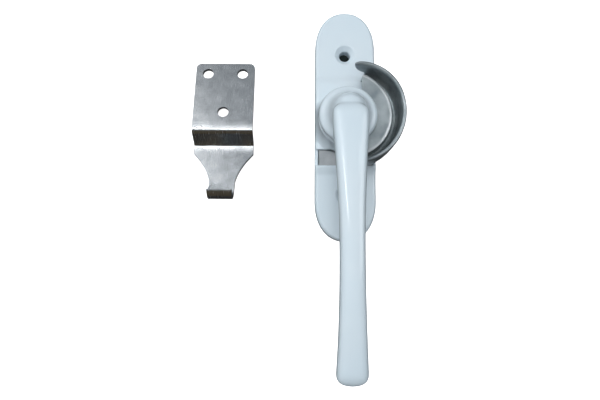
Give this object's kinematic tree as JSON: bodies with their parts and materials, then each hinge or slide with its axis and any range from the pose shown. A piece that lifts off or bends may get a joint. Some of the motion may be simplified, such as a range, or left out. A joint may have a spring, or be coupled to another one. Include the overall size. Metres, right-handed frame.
{
  "type": "crescent sash lock with lever and keeper",
  "caption": "Surface-mounted sash lock: a long lever turns a crescent cam on a screw-on housing, and a separate bent sheet keeper hooks the cam's rim.",
  "frame": {"origin": "where the spindle's axis meets the back face of the housing, which lies on the sash", "axes": "+Z out of the sash along the spindle, +Y up the sash, away from the hanging lever, +X to the right"},
  "size_m": [0.0864, 0.1492, 0.0344],
  "materials": {
    "white_paint": "satin powder coat over die-cast zinc",
    "zinc_plate": "satin grey plating on pressed steel",
    "brushed_stainless": "brushed stainless sheet with rolled edges",
    "spring_steel": "dull grey spring steel",
    "plated_steel": "bright zinc-plated steel",
    "bronze": "sintered bronze",
    "nylon": "dark nylon"
  },
  "bodies": {
    "housing": {"base_housing": "white_paint", "back_plate": "plated_steel", "back_plate_rivet_upper": "plated_steel", "back_plate_rivet_lower": "plated_steel", "detent_spring": "spring_steel", "spindle_bush": "bronze", "wave_washer": "spring_steel", "thrust_washer": "nylon"},
    "lever": {"lever_handle": "white_paint", "crescent_cam": "zinc_plate", "spindle": "plated_steel", "drive_pin": "plated_steel", "index_block": "plated_steel", "stop_washer": "plated_steel"},
    "keeper": {"keeper": "brushed_stainless"}
  },
  "joints": [
    {"name": "lever_turn", "type": "hinge", "parent": "housing", "child": "lever", "pos_m": [0, 0, 0.01], "axis": [0, 0, 1], "range_deg": [0, 180]},
    {"name": "keeper_travel", "type": "slide", "parent": "housing", "child": "keeper", "axis": [1, 0, 0], "range_m": [-0.06, 0]}
  ]
}
